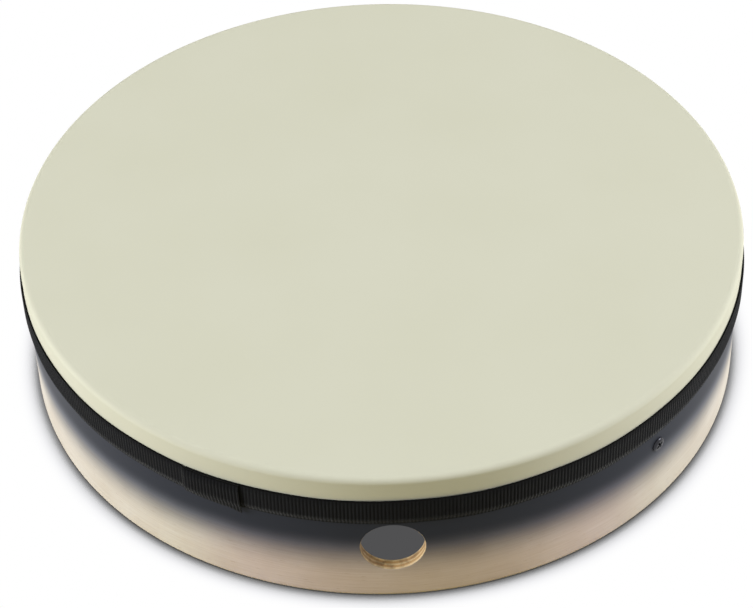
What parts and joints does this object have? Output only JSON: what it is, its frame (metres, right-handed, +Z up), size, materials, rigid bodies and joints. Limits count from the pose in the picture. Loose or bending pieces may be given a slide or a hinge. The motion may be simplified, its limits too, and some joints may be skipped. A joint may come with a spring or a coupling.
{
  "type": "bendir",
  "caption": "Round frame drum: bent plywood shell with a thumb hole, film head bound by a ribbed ribbon, and snare strands under the head tightened by an inner thumbscrew.",
  "frame": {"origin": "centre of the plane that the open rim stands on", "axes": "+Z up from the open rim to the head along the drum's axis, thumb hole facing -Y"},
  "size_m": [0.4094, 0.4094, 0.0898],
  "materials": {
    "plywood": "bent beech plywood, dark burst fading to clear satin lacquer",
    "film": "coated polyester film, cream, satin",
    "ribbon": "black ribbed grosgrain ribbon",
    "plated_steel": "nickel-plated steel",
    "brass": "turned brass, bright",
    "gut": "twisted gut strand"
  },
  "bodies": {
    "drum": {"shell": "plywood", "drum_head": "film", "edge_ribbon": "ribbon", "snare_strand_1": "gut", "snare_strand_2": "gut", "strainer_bracket": "plated_steel", "saddle_pin": "plated_steel", "strainer_fixing_screw": "plated_steel", "strainer_fixing_washer": "plated_steel", "strainer_fixing_nut": "plated_steel", "butt_plate": "plated_steel", "butt_fixing_screw": "plated_steel", "butt_fixing_washer": "plated_steel", "butt_fixing_nut": "plated_steel"},
    "carriage_unit": {"carriage": "brass", "clamp_plate": "plated_steel", "clamp_screw_1": "plated_steel", "clamp_screw_2": "plated_steel"},
    "thumbscrew": {"tension_screw": "brass", "retaining_clip": "plated_steel"}
  },
  "joints": [
    {"name": "tension_turn", "type": "hinge", "parent": "drum", "child": "thumbscrew", "pos_m": [0.12898, -0.12898, 0.03], "axis": [0, 0, 1], "range_deg": [-1800, 900]},
    {"name": "carriage_slide", "type": "slide", "parent": "drum", "child": "carriage_unit", "axis": [0, 0, -1], "range_m": [-0.0041, 0.0021], "deforming": ["snare_strand_1", "snare_strand_2"]}
  ],
  "couplings": [
    {"joint": "carriage_slide", "follows": "tension_turn", "m_per_rad": 0.00012732}
  ]
}
